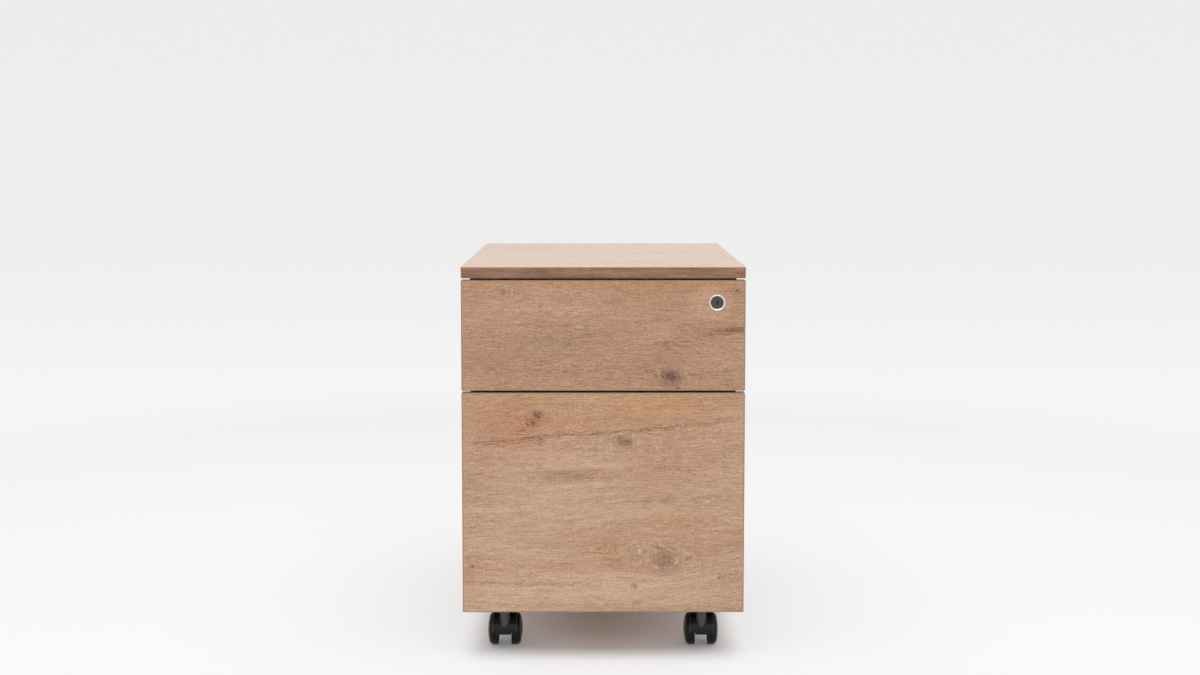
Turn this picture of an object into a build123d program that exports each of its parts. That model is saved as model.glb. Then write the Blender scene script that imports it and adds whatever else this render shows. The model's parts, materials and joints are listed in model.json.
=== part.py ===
from build123d import *
import os
from math import cos, pi, radians, sin

# Rolling pedestal cabinet: a laminated-board carcass on four twin-wheel casters, with a shallow
# drawer over a hanging-file drawer and one lock for both. It has no handles: the top and the
# drawer fronts stand past the sides, and a hand pulls a front by its overhanging edge.
#
# Frame: millimetres, +Z up, floor at z = 0, fronts facing -Y, origin under the middle of the
# bounding box. "side" is +1 for the right half (+X) and -1 for the left half.

# ---- carcass and fronts ----
width = 430.0  # top panel and drawer fronts
depth = 600.0  # face of the fronts to the back edge
board = 18.0  # laminated board
band = 2.0  # edge band on the top and the fronts
band_round = 1.5  # rounding of that band's outer edges
carcass_band = 1.0  # edge band on the carcass boards
band_seam = 0.1  # hairline between two strips of edge band
side_overhang = 12.5  # fronts and top past the outer face of each side panel
grid_unit = 57.0  # height grid of the fronts
top_units = 3
file_units = 6
front_gap = 3.0  # above each front
front_standoff = 2.0  # back of a closed front to the carcass
front_lift = 3.0  # lower edge of the bottom front above the carcass's underside
traverse_width = 80.0
rosette_proud = 1.2  # lock flange in front of the drawer front

# ---- slides ----
slide_thickness = 12.7  # side panel to drawer side
slide_setback = 34.4  # carcass front edge to the slides' front ends
slide_back_gap = 27.6  # slides' rear ends to the back panel
slide_sheet = 1.2
flange_gap = 2.5  # end of a member's flanges to the drawer side
web_gap = 0.7  # between two nested webs
top_slide_height = 35.2
file_slide_height = 45.6
top_overlap = 125.0  # of the shallow drawer's slide members when it is open
ball_radius = 1.5
ball_play = 0.05  # ball to each raceway
ball_pitch = 24.0
cage_sheet = 0.6
cage_hole_play = 0.25
cage_flange = 2.4  # cage past the middle of its balls
cage_margin = 7.5  # open drawer: cage to each end of the stretch where two members overlap

# ---- drawers ----
steel = 1.0  # drawer sheet
base_flange = 11.0
sheet_play = 0.3  # a sheet to the one that it drops between
top_base_lift = 17.0  # drawer's underside above the lower edge of its front
box_under_lock = 25.0  # lock axis to the rim of the shallow drawer's box
top_slide_lift = 34.0  # slide's middle above the drawer's underside
top_rim = 7.5  # rolled rim over the slide
file_base_lift = 23.0
file_box_height = 248.0
file_slide_lift = 48.0
file_rail_spacing = 330.0  # middle to middle, for hanging files
file_rail_height = 10.0
back_flange = 10.0
rim_lip = 5.0  # rolled rim's outer leg

# ---- pencil tray ----
tray_depth = 128.0
tray_height = 38.0
tray_wall = 2.0
tray_trough = 62.0  # front row, for pens
tray_cells = 4  # back row
tray_corner = 6.0
tray_cell_corner = 5.0
tray_play = 0.6

# ---- lock and locking bar ----
lock_from_panel = 12.5  # lock axis to the inner face of the side panel
lock_from_top = 34.0  # lock axis to the upper edge of the front
rosette_radius = 12.3
housing_radius = 11.0
housing_tail = 4.0  # housing behind the front
rosette_round = 0.7
rosette_bevel = 0.9  # round the core, down to its face
core_face_radius = 9.6
core_face = 2.0  # depth of the core's wide end in the front
core_sink = rosette_bevel  # core's face below the flange's
core_radius = 6.0
core_groove = (3.6, 2.4, 0.8)  # ring round the key slot: outer and inner radius, depth
lock_play = 0.1
cam_disc_radius = 8.5
cam_disc = 2.0
cam_throw = 6.0  # eccentric pin to the lock axis
cam_pin_radius = 2.0
cam_pin_end = 1.5  # past the lug
cam_swing = 90.0  # from unlocked to locked, half below and half above the axis
key_slot = (1.6, 6.0, 14.0)  # width, height and depth
bar_width = 14.0
bar_thickness = 3.0
bar_play = 0.2
bar_setback = 17.4  # carcass front edge to the bar's middle
lug_thickness = 2.0
lug_height = 13.0
lug_end = 0.5  # past the lock axis
bar_below_pin = 12.0
slot_play = 0.45  # cam pin to the bar's slot, above and below
slot_end_play = 0.3
catch_pin_radius = 2.5
catch_pin_gap = 2.4  # pin's end to the drawer side
catch = (4.7, 11.0, 10.5)  # catch block along X, Y and Z
catch_edge = 0.8
catch_play = 1.0  # pin under a catch when unlocked
catch_stop = 0.6  # pin in front of a catch when locked
top_pin_lift = 64.0  # pin above the drawer's underside
file_pin_lift = 208.0
guide_above_pin = 23.0  # lowest guide's middle above the lower pin
guide_below_front = 11.0  # middle guide's middle below the upper front
guide_below_lug = 4.3  # upper guide's top below the lug
guide_cover = 1.5
guide_play = 0.3  # bar to a guide's cover
guide_height = 10.0
guide_ear = 7.5  # past the cover, each way
guide_sheet = 2.0

# ---- casters ----
caster_inset_x = 49.0  # pivot to the outer face of the side panel
caster_inset_front = 29.0  # pivot to the carcass's front edge
caster_inset_rear = 60.0
caster_trail = 18.0  # axle behind the pivot
caster_headroom = 16.0  # wheel's top to the carcass's underside
wheel_radius = 25.0
wheel_inner = 10.4  # wheel's inner face to the caster's middle
wheel_edge = 25.0  # rim of the domed face to the caster's middle
wheel_dome = 27.2  # middle of the domed face
wheel_round = 7.5  # rounding between the tread and that face
wheel_wall = 2.6
tread_wall = 3.6
hub_radius = 6.5
axle_radius = 3.0
axle_length = 43.0
axle_play = 0.05
hood_web = 19.4
hood_width = 37.4
hood_wall = 2.4
hood_round = 0.8
hood_play = 0.8  # wheel tread to the hood
hood_rear = 14.0  # rear end of the hood's cover behind the axle
cover_clearance = 26.0  # lower edge of the cover above the floor
web_clearance = 22.5
neck_top_radius = 8.0
neck_radius = 6.2
neck_end = 8.0  # lower end of the neck above the axle
stem_radius = 4.0
stem_end = 9.0  # lower end of the stem above the axle
collar_radius = 7.5
collar = 2.6
swivel_play = 0.3
plate_side = 42.0
plate_thickness = 2.5
plate_holes = 32.0  # hole spacing, both ways
plate_corner = 5.0

# ---- fasteners ----
small_edge = 0.4  # chamfer on pins, axles and the lock core
screw_radius = 2.0
screw_head_radius = 3.6
screw_head = 2.2
screw_head_round = 1.0
flat_head_radius = 3.4
flat_head = 0.45
screw_bite = 12.0  # into the board
front_screw_inset = 95.0  # to the side edges of the front
top_screw_margin = 20.0  # to the lower edge and the rim of the drawer box
file_screw_margin = 40.0
slide_screw_margin = 30.0  # to the slide's ends
hole_play = 0.1
dowel_radius = 4.0
dowel_length = 32.0
dowel_bite = 14.0  # into the side panel
dowel_heights = (0.2, 0.5, 0.8)  # in the back panel, as shares of the carcass's height
floor_dowel_inset = (130.0, 160.0)  # to the bottom panel's front and rear edges
floor_cam_inset = (70.0, 100.0)
traverse_dowel = 20.0  # behind the traverse's middle
traverse_cam = -15.0
cam_bolt_radius = 3.0
cam_disc_bore = 7.5
cam_disc_depth = 12.5
cam_disc_inset = 34.0  # disc's middle to the side panel
cam_disc_slot = (8.0, 1.4, 1.5)  # screwdriver slot along X, Y and Z
cam_bolt_bite = 11.0
cam_bolt_play = 0.3

# ---- places that follow from the sizes ----
caster_height = 2 * wheel_radius + caster_headroom
front_y = -(depth - rosette_proud) / 2
back_y = front_y + depth
board_back_y = front_y + board  # back of the drawer fronts
carcass_y = board_back_y + front_standoff
inner_back_y = back_y - board
outer_x = width / 2 - side_overhang
inner_x = outer_x - board
file_front_z = caster_height + front_lift
file_front_height = file_units * grid_unit - front_gap
top_front_z = file_front_z + file_units * grid_unit
top_front_height = top_units * grid_unit - front_gap
under_top_z = file_front_z + (top_units + file_units) * grid_unit
carcass_height = under_top_z - caster_height

slide_y = carcass_y + slide_setback
slide_length = inner_back_y - slide_back_gap - slide_y
box_back_y = slide_y + slide_length
top_box_z = top_front_z + top_base_lift
file_box_z = file_front_z + file_base_lift
lock_x = inner_x - lock_from_panel
lock_z = top_front_z + top_front_height - lock_from_top
top_box_height = lock_z - box_under_lock - top_box_z
top_slide_z = top_box_z + top_slide_lift
file_slide_z = file_box_z + file_slide_lift
box_x = inner_x - slide_thickness  # outer face of a drawer side

bar_y = carcass_y + bar_setback
bar_x = inner_x - bar_play - bar_thickness  # inner face of the bar
bar_rest_z = lock_z - cam_throw * sin(radians(cam_swing / 2))  # cam pin when unlocked
pin_heights = (file_box_z + file_pin_lift, top_box_z + top_pin_lift)
guide_heights = (
    pin_heights[0] + guide_above_pin,
    top_front_z - guide_below_front,
    bar_rest_z - (lug_height + guide_height) / 2 - guide_below_lug,
)

caster_x = outer_x - caster_inset_x
casters = {
    "front_left": (-caster_x, carcass_y + caster_inset_front),
    "front_right": (caster_x, carcass_y + caster_inset_front),
    "rear_left": (-caster_x, back_y - caster_inset_rear),
    "rear_right": (caster_x, back_y - caster_inset_rear),
}
plate_z = caster_height - plate_thickness
neck_top_z = plate_z - collar - swivel_play

os.makedirs("parts", exist_ok=True)


def save(builder, name):
    """Labels a finished piece and writes its STEP file."""
    builder.part.label = name
    export_step(builder.part, f"parts/{name}.step")


def front_plane(y, z=0.0, x=0.0):
    """Upright plane facing the user: local x is +X, local y is +Z and the normal is -Y."""
    return Plane(origin=(x, y, z), x_dir=(1, 0, 0), z_dir=(0, -1, 0))


def side_plane(x, y=0.0, z=0.0):
    """Upright plane along the cabinet: local x is +Y, local y is +Z and the normal is +X."""
    return Plane(origin=(x, y, z), x_dir=(0, 1, 0), z_dir=(1, 0, 0))


def slide_plane(side, y, z):
    """Cross-section of what lies beside a drawer: local x runs inwards from the side panel's
    inner face and local y is up. Extruding by side * length goes towards the back."""
    return Plane(origin=(side * inner_x, y, z), x_dir=(-side, 0, 0), z_dir=(0, side, 0))


# =====================================================================================
# Boards and their edge bands
# =====================================================================================


def board_core(plane, x_size, y_size, holes=()):
    """The board inside its edge bands. holes holds (x, y, radius), right through."""
    with BuildPart() as core:
        with BuildSketch(plane):
            Rectangle(x_size - 2 * band, y_size - 2 * band)
            for x, y, radius in holes:
                with Locations((x, y)):
                    Circle(radius, mode=Mode.SUBTRACT)
        extrude(amount=board)
    return core


def board_bands(plane, x_size, y_size):
    """Four strips of edge band round a board, rounded outside, the short pair between the long."""
    with BuildPart() as bands:
        with BuildSketch(plane):
            Rectangle(x_size, y_size)
        extrude(amount=board)
        fillet(bands.edges(), band_round)
        with BuildSketch(plane):
            Rectangle(x_size - 2 * band, y_size - 2 * band)
            for end in (-1, 1):
                with Locations((0, end * (y_size / 2 - band - band_seam / 2))):
                    Rectangle(x_size, band_seam)
        extrude(amount=board, mode=Mode.SUBTRACT)
    return bands


top_plane = Plane.XY.offset(under_top_z).shift_origin((0, (front_y + back_y) / 2, under_top_z))
top_front_plane = front_plane(board_back_y, top_front_z + top_front_height / 2)
file_front_plane = front_plane(board_back_y, file_front_z + file_front_height / 2)

# Screws that come up through the traverses, as (x, y)
top_screw_points = [
    (x, y)
    for x in (-inner_x / 2, inner_x / 2)
    for y in (carcass_y + traverse_width / 2, inner_back_y - traverse_width / 2)
]
with BuildPart() as top_panel:
    add(board_core(top_plane, width, depth).part)
    with BuildSketch(Plane.XY.offset(under_top_z)):
        with Locations(*top_screw_points):
            Circle(screw_radius + hole_play)
    extrude(amount=screw_bite, mode=Mode.SUBTRACT)
save(top_panel, "top_panel")
save(board_bands(top_plane, width, depth), "top_edge_bands")

# Screws that hold each wooden front to its drawer box, as (x, z)
front_screw_x = width / 2 - front_screw_inset
top_front_screws = [
    (x, z)
    for x in (-front_screw_x, front_screw_x)
    for z in (top_box_z + top_screw_margin, top_box_z + top_box_height - top_screw_margin)
]
file_front_screws = [
    (x, z)
    for x in (-front_screw_x, front_screw_x)
    for z in (file_box_z + file_screw_margin, file_box_z + file_box_height - file_screw_margin)
]


def drawer_front(plane, height, screws, holes=()):
    """A wooden front with blind screw holes in its back."""
    with BuildPart() as panel:
        add(board_core(plane, width, height, holes).part)
        with BuildSketch(front_plane(board_back_y)):
            with Locations(*screws):
                Circle(screw_radius + hole_play)
        extrude(amount=screw_bite + hole_play, mode=Mode.SUBTRACT)
    return panel


lock_hole = (lock_x, lock_z - top_front_plane.origin.Z, housing_radius + lock_play)
top_drawer_front = drawer_front(top_front_plane, top_front_height, top_front_screws, [lock_hole])
save(top_drawer_front, "top_drawer_front")
save(board_bands(top_front_plane, width, top_front_height), "top_front_edge_bands")
file_drawer_front = drawer_front(file_front_plane, file_front_height, file_front_screws)
save(file_drawer_front, "file_drawer_front")
save(board_bands(file_front_plane, width, file_front_height), "file_front_edge_bands")

# =====================================================================================
# Carcass
# =====================================================================================

floor_mid_z = caster_height + board / 2
traverse_mid_z = under_top_z - board / 2
floor_y = (carcass_y + carcass_band, inner_back_y)
traverse_y = {
    "front": (carcass_y, carcass_y + traverse_width),
    "rear": (inner_back_y - traverse_width, inner_back_y),
}
cam_points = [
    (floor_y[0] + floor_cam_inset[0], floor_mid_z),
    (floor_y[1] - floor_cam_inset[1], floor_mid_z),
]
cam_points += [(sum(ends) / 2 + traverse_cam, traverse_mid_z) for ends in traverse_y.values()]
dowel_points = [
    (floor_y[0] + floor_dowel_inset[0], floor_mid_z),
    (floor_y[1] - floor_dowel_inset[1], floor_mid_z),
]
dowel_points += [(sum(ends) / 2 + traverse_dowel, traverse_mid_z) for ends in traverse_y.values()]
dowel_points += [
    (back_y - board / 2, caster_height + carcass_height * share) for share in dowel_heights
]
slide_screw_y = (
    slide_y + slide_screw_margin,
    slide_y + slide_length / 2,
    slide_y + slide_length - slide_screw_margin,
)
slide_screw_points = [(y, z) for y in slide_screw_y for z in (file_slide_z, top_slide_z)]
guide_screw_reach = bar_width / 2 + bar_play + guide_cover + guide_ear / 2
guide_screw_points = [
    (bar_y + end * guide_screw_reach, z) for end in (-1, 1) for z in guide_heights
]

for side, name in ((-1, "left"), (1, "right")):
    screws = slide_screw_points + (guide_screw_points if side > 0 else [])
    with BuildPart() as side_panel:
        with BuildSketch(side_plane(side * inner_x, (carcass_y + back_y) / 2)):
            with Locations((0, caster_height + carcass_height / 2)):
                Rectangle(back_y - carcass_y - 2 * carcass_band, carcass_height)
        extrude(amount=side * board)
        for points, radius, bite in (
            (screws, screw_radius + hole_play, screw_bite),
            (cam_points, cam_bolt_radius + hole_play, cam_bolt_bite + hole_play),
            (dowel_points, dowel_radius + hole_play, dowel_bite + hole_play),
        ):
            with BuildSketch(side_plane(side * inner_x)):
                with Locations(*points):
                    Circle(radius)
            extrude(amount=side * bite, mode=Mode.SUBTRACT)
    save(side_panel, f"side_panel_{name}")

with BuildPart() as carcass_edge_bands:
    for y in (carcass_y + carcass_band / 2, back_y - carcass_band / 2):
        for side in (-1, 1):
            with Locations((side * (inner_x + board / 2), y, caster_height + carcass_height / 2)):
                Box(board, carcass_band, carcass_height)
    with Locations((0, carcass_y + carcass_band / 2, floor_mid_z)):
        Box(2 * (inner_x - band_seam), carcass_band, board)
save(carcass_edge_bands, "carcass_edge_bands")


def bored_board(y_ends, z, points):
    """A board between the side panels, resting at height z, with the bores of its connectors.
    points holds (y, radius, depth) of the bores in both of its ends."""
    with BuildPart() as panel:
        with Locations((0, sum(y_ends) / 2, z + board / 2)):
            Box(2 * inner_x, y_ends[1] - y_ends[0], board)
        for side in (-1, 1):
            for y, radius, reach in points:
                with BuildSketch(side_plane(side * inner_x, y, z + board / 2)):
                    Circle(radius)
                extrude(amount=-side * reach, mode=Mode.SUBTRACT)
        discs = [
            (side * (inner_x - cam_disc_inset), y)
            for side in (-1, 1)
            for y, radius, reach in points
            if reach == cam_disc_inset
        ]
        with BuildSketch(Plane.XY.offset(z)):
            with Locations(*discs):
                Circle(cam_disc_bore + hole_play)
        extrude(amount=cam_disc_depth + hole_play, mode=Mode.SUBTRACT)
    return panel


def end_bores(mid_z):
    """Bores in the ends of the board at that middle height: cam bolts, then dowels."""
    bolts = [(y, cam_bolt_radius + cam_bolt_play, cam_disc_inset) for y, z in cam_points if z == mid_z]
    pegs = [
        (y, dowel_radius + hole_play, dowel_length - dowel_bite + hole_play)
        for y, z in dowel_points
        if z == mid_z
    ]
    return bolts + pegs


caster_screw_points = [
    (x + i * plate_holes / 2, y + j * plate_holes / 2)
    for x, y in casters.values()
    for i in (-1, 1)
    for j in (-1, 1)
]
with BuildPart() as bottom_panel:
    add(bored_board(floor_y, caster_height, end_bores(floor_mid_z)).part)
    with BuildSketch(Plane.XY.offset(caster_height)):
        with Locations(*caster_screw_points):
            Circle(screw_radius + hole_play)
    extrude(amount=screw_bite, mode=Mode.SUBTRACT)
save(bottom_panel, "bottom_panel")

with BuildPart() as back_panel:
    with Locations((0, back_y - board / 2, caster_height + carcass_height / 2)):
        Box(2 * inner_x, board, carcass_height)
    for side in (-1, 1):
        with BuildSketch(side_plane(side * inner_x)):
            with Locations(*[(y, z) for y, z in dowel_points if y == back_y - board / 2]):
                Circle(dowel_radius + hole_play)
        extrude(amount=-side * (dowel_length - dowel_bite + hole_play), mode=Mode.SUBTRACT)
save(back_panel, "back_panel")

with BuildPart() as top_traverses:
    for ends in traverse_y.values():
        near = [bore for bore in end_bores(traverse_mid_z) if ends[0] < bore[0] < ends[1]]
        add(bored_board(ends, under_top_z - board, near).part)
    with BuildSketch(Plane.XY.offset(under_top_z - board)):
        with Locations(*top_screw_points):
            Circle(screw_radius + hole_play)
    extrude(amount=board, mode=Mode.SUBTRACT)
save(top_traverses, "top_traverses")

with BuildPart() as cam_connectors:
    for side in (-1, 1):
        for y, z in cam_points:
            disc_x = side * (inner_x - cam_disc_inset)
            with BuildSketch(Plane.XY.offset(z - board / 2)):
                with Locations((disc_x, y)):
                    Circle(cam_disc_bore)
            extrude(amount=cam_disc_depth)
            with BuildSketch(side_plane(disc_x, y, z)):
                Circle(cam_bolt_radius + cam_bolt_play)
            extrude(amount=side * cam_disc_bore, mode=Mode.SUBTRACT)
            with BuildSketch(Plane.XY.offset(z - board / 2)):
                with Locations((disc_x, y)):
                    Rectangle(cam_disc_slot[0], cam_disc_slot[1])
            extrude(amount=cam_disc_slot[2], mode=Mode.SUBTRACT)
            with BuildSketch(side_plane(disc_x + side * cam_bolt_play, y, z)):
                Circle(cam_bolt_radius)
            extrude(amount=side * (cam_disc_inset - cam_bolt_play + cam_bolt_bite))
save(cam_connectors, "cam_connectors")

with BuildPart() as dowels:
    for side in (-1, 1):
        for y, z in dowel_points:
            with BuildSketch(side_plane(side * (inner_x + dowel_bite), y, z)):
                Circle(dowel_radius)
            extrude(amount=-side * dowel_length)
save(dowels, "dowels")

# =====================================================================================
# Slides: each section is drawn in the slide plane, symmetric about the slide's middle
# =====================================================================================


def channel(near, far, height, sheet):
    """Sketches a bent channel: its web at near, its flanges reaching to far."""
    middle, reach, way = (near + far) / 2, abs(far - near), 1 if far > near else -1
    with Locations((middle, 0)):
        Rectangle(reach, height)
    fillet(faces().vertices().group_by(Axis.X)[0 if way > 0 else -1], sheet)
    with Locations((middle + way * sheet, 0)):
        Rectangle(reach, height - 2 * sheet, mode=Mode.SUBTRACT)


def slide_member(near, far, height, z, screw_holes=()):
    """A left and a right slide member, with the given section, at height z."""
    with BuildPart() as member:
        for side in (-1, 1):
            with BuildSketch(slide_plane(side, slide_y, z)):
                channel(near, far, height, slide_sheet)
            extrude(amount=side * slide_length)
            if screw_holes:
                with BuildSketch(side_plane(side * inner_x)):
                    with Locations(*[(y, z) for y in screw_holes]):
                        Circle(screw_radius + hole_play)
                extrude(amount=-side * slide_sheet, mode=Mode.SUBTRACT)
    return member


def ball_cage(web, inner_edge, row_z, length, z):
    """Left and right ball retainers: a thin channel with a row of balls in each flange. The balls
    run between the cabinet-side member's flanges and the next member's, which start at inner_edge.
    A cage moves half as far as the member that rolls on it, so it starts in the slide's middle and
    ends in the middle of the stretch that still overlaps."""
    y = slide_y + (slide_length - length) / 2
    ball_u = (inner_edge + flange_reach) / 2
    count = int((length - 4 * ball_radius) / ball_pitch) + 1
    with BuildPart() as cage:
        for side in (-1, 1):
            with BuildSketch(slide_plane(side, y, z)):
                channel(web, ball_u + cage_flange, 2 * row_z + cage_sheet, cage_sheet)
            extrude(amount=side * length)
        spots = [
            (side * (inner_x - ball_u), y + length / 2 + (n - (count - 1) / 2) * ball_pitch)
            for side in (-1, 1)
            for n in range(count)
        ]
        with BuildSketch(Plane.XY.offset(z - row_z - cage_sheet)):
            with Locations(*spots):
                Circle(ball_radius + cage_hole_play)
        extrude(amount=2 * (row_z + cage_sheet), mode=Mode.SUBTRACT)
        with Locations(*[(x, y, z + end * row_z) for x, y in spots for end in (-1, 1)]):
            Sphere(ball_radius)
    return cage


race = 2 * (ball_radius + ball_play)  # gap that a row of balls runs in
flange_reach = slide_thickness - flange_gap
cage_web = slide_sheet + web_gap
next_web = cage_web + cage_sheet + web_gap
# An open shallow drawer keeps top_overlap on its slides. The file drawer comes out by its whole
# length, and then each two members that run on each other overlap by half.
top_cage_length = top_overlap - 2 * cage_margin
file_cage_length = slide_length / 2 - 2 * cage_margin

# Shallow drawer: two members and one cage on each side
top_race_z = top_slide_height / 2 - slide_sheet - race / 2
top_inner_height = top_slide_height - 2 * (slide_sheet + race)
save(slide_member(0, flange_reach, top_slide_height, top_slide_z, slide_screw_y),
     "top_slide_cabinet_members")
save(slide_member(slide_thickness, next_web, top_inner_height, top_slide_z),
     "top_slide_drawer_members")
save(ball_cage(cage_web, next_web, top_race_z, top_cage_length, top_slide_z), "top_ball_cages")

# File drawer: three members and two cages on each side
file_outer_race_z = file_slide_height / 2 - slide_sheet - race / 2
file_middle_height = file_slide_height - 2 * (slide_sheet + race)
file_inner_race_z = file_middle_height / 2 - slide_sheet - race / 2
file_inner_height = file_middle_height - 2 * (slide_sheet + race)
save(slide_member(0, flange_reach, file_slide_height, file_slide_z, slide_screw_y),
     "file_slide_cabinet_members")
save(slide_member(next_web, flange_reach, file_middle_height, file_slide_z),
     "file_slide_middle_members")
save(slide_member(slide_thickness, 2 * next_web, file_inner_height, file_slide_z),
     "file_slide_drawer_members")
save(ball_cage(cage_web, next_web, file_outer_race_z, file_cage_length, file_slide_z),
     "file_outer_ball_cages")
save(ball_cage(next_web + cage_web, 2 * next_web, file_inner_race_z, file_cage_length,
               file_slide_z), "file_inner_ball_cages")

# =====================================================================================
# Steel drawer boxes
# =====================================================================================

wall_far = slide_thickness + steel  # inner face of a drawer side, from the side panel
box_length = box_back_y - board_back_y - 2 * steel
box_y = board_back_y + steel


def sheet_strip(u_ends, z_ends):
    """One flat of a bent sheet, in the slide plane's section."""
    with Locations(((u_ends[0] + u_ends[1]) / 2, (z_ends[0] + z_ends[1]) / 2)):
        Rectangle(abs(u_ends[1] - u_ends[0]), abs(z_ends[1] - z_ends[0]))


with BuildPart() as top_drawer_sides:
    for side in (-1, 1):
        rim_u = slide_thickness - top_rim + steel
        with BuildSketch(slide_plane(side, box_y, top_box_z)):
            sheet_strip((slide_thickness, wall_far), (0, top_box_height))
            sheet_strip((rim_u, wall_far), (top_box_height - steel, top_box_height))
            sheet_strip((rim_u, rim_u + steel), (top_box_height - rim_lip, top_box_height))
            sheet_strip((slide_thickness, wall_far + base_flange), (0, steel))
        extrude(amount=side * box_length)
save(top_drawer_sides, "top_drawer_sides")

rail_u = inner_x - file_rail_spacing / 2
with BuildPart() as file_drawer_sides:
    for side in (-1, 1):
        shelf_z = file_box_height - file_rail_height
        with BuildSketch(slide_plane(side, box_y, file_box_z)):
            sheet_strip((slide_thickness, wall_far), (0, shelf_z))
            sheet_strip((slide_thickness, rail_u + steel / 2), (shelf_z - steel, shelf_z))
            sheet_strip((rail_u - steel / 2, rail_u + steel / 2), (shelf_z, file_box_height))
            sheet_strip((slide_thickness, wall_far + base_flange), (0, steel))
        extrude(amount=side * box_length)
save(file_drawer_sides, "file_drawer_sides")


def drawer_base(z):
    """Sheet that lies on the inward flanges of the two sides."""
    with BuildPart() as base:
        with Locations((0, box_y + box_length / 2, z + 1.5 * steel)):
            Box(2 * (inner_x - wall_far - sheet_play), box_length, steel)
    return base


def drawer_inner_front(z, height, screws):
    """Sheet that closes the box behind the wooden front, which is screwed to it."""
    with BuildPart() as panel:
        with BuildSketch(front_plane(box_y, z + height / 2)):
            Rectangle(2 * box_x, height)
        extrude(amount=steel)
        with BuildSketch(front_plane(box_y)):
            with Locations(*screws):
                Circle(screw_radius + hole_play)
        extrude(amount=steel, mode=Mode.SUBTRACT)
    return panel


def drawer_back(z, height, flange_x):
    """Back sheet, and along its upper edge a flange bent towards the front, out to flange_x."""
    with BuildPart() as panel:
        with Locations((0, box_back_y - steel / 2, z + height / 2)):
            Box(2 * box_x, steel, height)
        with Locations((0, box_back_y - back_flange / 2, z + height - steel / 2)):
            Box(2 * flange_x, back_flange, steel)
    return panel


save(drawer_base(top_box_z), "top_drawer_base")
save(drawer_inner_front(top_box_z, top_box_height, top_front_screws), "top_drawer_inner_front")
save(drawer_back(top_box_z, top_box_height, inner_x - wall_far - sheet_play), "top_drawer_back")
save(drawer_base(file_box_z), "file_drawer_base")
save(drawer_inner_front(file_box_z, file_box_height, file_front_screws), "file_drawer_inner_front")
rail_face = (file_rail_spacing - steel) / 2
save(drawer_back(file_box_z, file_box_height, rail_face - sheet_play), "file_drawer_back")


def front_screws(points):
    """Screws from inside a drawer box into its wooden front."""
    with BuildPart() as screws:
        with BuildSketch(front_plane(box_y + screw_head)):
            with Locations(*points):
                Circle(screw_head_radius)
        extrude(amount=screw_head)
        with BuildSketch(front_plane(box_y)):
            with Locations(*points):
                Circle(screw_radius)
        extrude(amount=steel + screw_bite)
    return screws


save(front_screws(top_front_screws), "top_front_screws")
save(front_screws(file_front_screws), "file_front_screws")

# =====================================================================================
# Pencil tray: hangs by its rim on the shallow drawer's sides
# =====================================================================================

tray_y = box_y + screw_head + tray_play
tray_x = inner_x - wall_far - tray_play
tray_rim_z = top_box_z + top_box_height
rim_x = inner_x - (slide_thickness - top_rim + steel)
with BuildPart() as pencil_tray:
    with Locations((0, tray_y + tray_depth / 2, tray_rim_z - (tray_height - tray_wall) / 2)):
        Box(2 * tray_x, tray_depth, tray_height - tray_wall)
    fillet(pencil_tray.edges().filter_by(Axis.Z), tray_corner)
    with BuildSketch(Plane.XY.offset(tray_rim_z)):
        with Locations((0, tray_y + tray_depth / 2)):
            RectangleRounded(2 * rim_x, tray_depth, tray_corner)
    extrude(amount=tray_wall)
    cell_depth = tray_depth - tray_trough - 3 * tray_wall
    cell_pitch = (2 * tray_x - tray_wall) / tray_cells
    with BuildSketch(Plane.XY.offset(tray_rim_z - tray_height + 2 * tray_wall)):
        with Locations((0, tray_y + tray_wall + tray_trough / 2)):
            RectangleRounded(2 * (tray_x - tray_wall), tray_trough, tray_cell_corner)
        for n in range(tray_cells):
            cell_x = -tray_x + tray_wall / 2 + (n + 0.5) * cell_pitch
            with Locations((cell_x, tray_y + tray_depth - tray_wall - cell_depth / 2)):
                RectangleRounded(cell_pitch - tray_wall, cell_depth, tray_cell_corner)
    extrude(amount=tray_height, mode=Mode.SUBTRACT)
save(pencil_tray, "pencil_tray")

# =====================================================================================
# Lock, locking bar and catches
# =====================================================================================

lock_plane = front_plane(front_y, lock_z, lock_x)
housing_back = board + housing_tail
core_back = housing_back + 2 * lock_play

with BuildPart() as lock_housing:
    with BuildSketch(lock_plane.offset(-housing_back)):
        Circle(housing_radius)
    extrude(amount=housing_back)
    with BuildSketch(lock_plane):
        Circle(rosette_radius)
    extrude(amount=rosette_proud)
    fillet(lock_housing.edges().group_by(Axis.Y)[0], rosette_round)
    with BuildSketch(lock_plane.offset(-core_face)):
        Circle(core_face_radius + lock_play)
    extrude(amount=core_face + rosette_proud, mode=Mode.SUBTRACT)
    flange_edges = lock_housing.edges().group_by(Axis.Y)[0]
    chamfer(flange_edges.sort_by(SortBy.RADIUS)[0], rosette_bevel)
    with BuildSketch(lock_plane.offset(-housing_back)):
        Circle(core_radius + lock_play)
    extrude(amount=housing_back, mode=Mode.SUBTRACT)
save(lock_housing, "lock_housing")

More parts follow.
